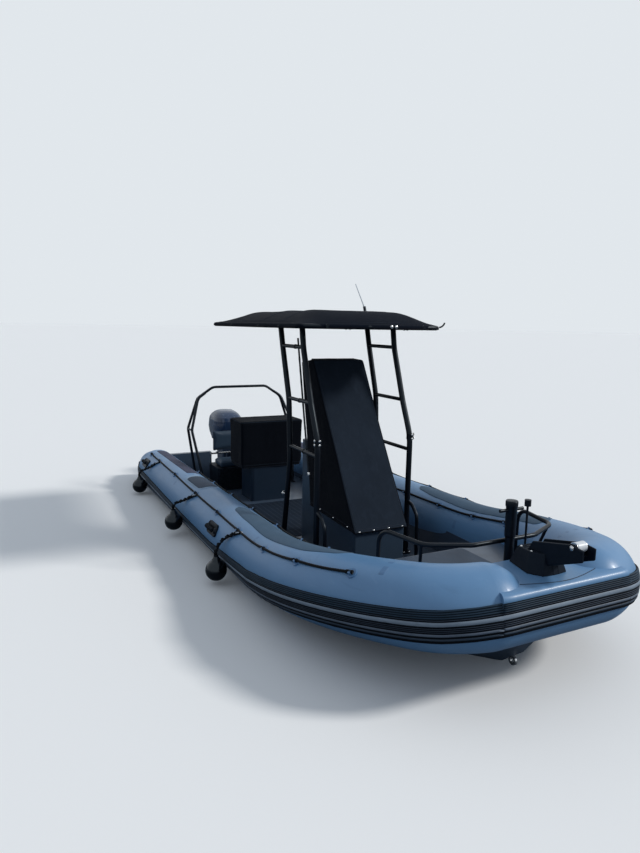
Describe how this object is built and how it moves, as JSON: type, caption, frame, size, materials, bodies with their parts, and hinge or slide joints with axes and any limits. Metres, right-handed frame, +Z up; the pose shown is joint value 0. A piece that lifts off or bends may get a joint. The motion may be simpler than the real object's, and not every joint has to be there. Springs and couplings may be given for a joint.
{
  "type": "inflatable rib boat",
  "caption": "Rigid inflatable boat with grey buoyancy tubes, deep-vee hull, covered console, T-top, stern arch and tilting outboard.",
  "frame": {"origin": "on the centreline at the waterline, halfway along the buoyancy tubes", "axes": "+X forward to the bow, +Y to port, +Z up"},
  "size_m": [6.735, 2.7353, 3.3675],
  "materials": {
    "tube_fabric": "satin grey coated fabric, welded seams",
    "hull_gelcoat": "grey gelcoat",
    "band_rubber": "black ribbed rub strake",
    "stripe_rubber": "light grey strake inlay",
    "deck_pad": "grey non-slip deck pad",
    "wear_patch": "textured grey wear patch",
    "rope": "black braided rope",
    "console_gelcoat": "grey gelcoat",
    "canvas": "black marine canvas",
    "cushion_vinyl": "dark grey marine vinyl",
    "black_metal": "satin black powder coat",
    "stainless": "polished stainless steel",
    "black_plastic": "black moulded plastic",
    "fender_vinyl": "black vinyl",
    "engine_paint": "dark blue-grey marine paint",
    "cowl_plastic": "dark blue-grey moulded cowl"
  },
  "bodies": {
    "root": {"tube_starboard": "tube_fabric", "tube_port": "tube_fabric", "bow_nose": "tube_fabric", "hull": "hull_gelcoat", "rub_band": "band_rubber", "rub_stripes": "stripe_rubber", "deck_pads": "deck_pad", "wear_patches": "wear_patch", "lifelines": "rope", "inner_lifelines": "rope", "rope_anchors": "band_rubber", "grab_handles": "black_plastic", "console_base": "console_gelcoat", "console_cover": "canvas", "leaning_post_base": "console_gelcoat", "leaning_post_cover": "canvas", "bench_base": "black_plastic", "bench_cushion": "cushion_vinyl", "bench_hinge_ears": "stainless", "ttop_side_starboard": "black_metal", "ttop_side_port": "black_metal", "roof_frame": "black_metal", "roof_canopy": "canvas", "antenna": "black_plastic", "bow_rail": "black_metal", "sampson_post": "black_metal", "bow_light": "black_plastic", "bow_step": "black_plastic", "bow_roller": "stainless", "lid_hinges": "stainless", "stern_arch": "black_metal", "towing_eyes": "stainless", "fenders": "fender_vinyl", "fender_lanyards": "rope", "outboard_bracket": "engine_paint"},
    "tilt_unit": {"outboard_swivel": "engine_paint"},
    "engine": {"outboard_leg": "engine_paint", "outboard_cowl": "cowl_plastic"},
    "propeller": {"propeller": "engine_paint"},
    "locker_lid": {"bow_locker_lid": "hull_gelcoat"},
    "backrest": {"backrest_hinge_bar": "stainless", "bench_backrest": "cushion_vinyl"}
  },
  "joints": [
    {"name": "outboard_tilt", "type": "hinge", "parent": "root", "child": "tilt_unit", "pos_m": [-2.8, 0, 0.42], "axis": [0, 1, 0], "range_deg": [0, 60]},
    {"name": "outboard_steer", "type": "hinge", "parent": "tilt_unit", "child": "engine", "pos_m": [-2.9, 0, 0.2], "axis": [0, 0, 1], "range_deg": [-30, 30]},
    {"name": "propeller_spin", "type": "hinge", "parent": "engine", "child": "propeller", "pos_m": [-3.362, 0, -0.615], "axis": [1, 0, 0], "continuous": true},
    {"name": "locker_lid_lift", "type": "hinge", "parent": "root", "child": "locker_lid", "pos_m": [2.395, 0, 0.4395], "axis": [0, 1, 0], "range_deg": [0, 90]},
    {"name": "backrest_fold", "type": "hinge", "parent": "root", "child": "backrest", "pos_m": [-2.28, 0, 0.48], "axis": [0, 1, 0], "range_deg": [0, 85]}
  ]
}
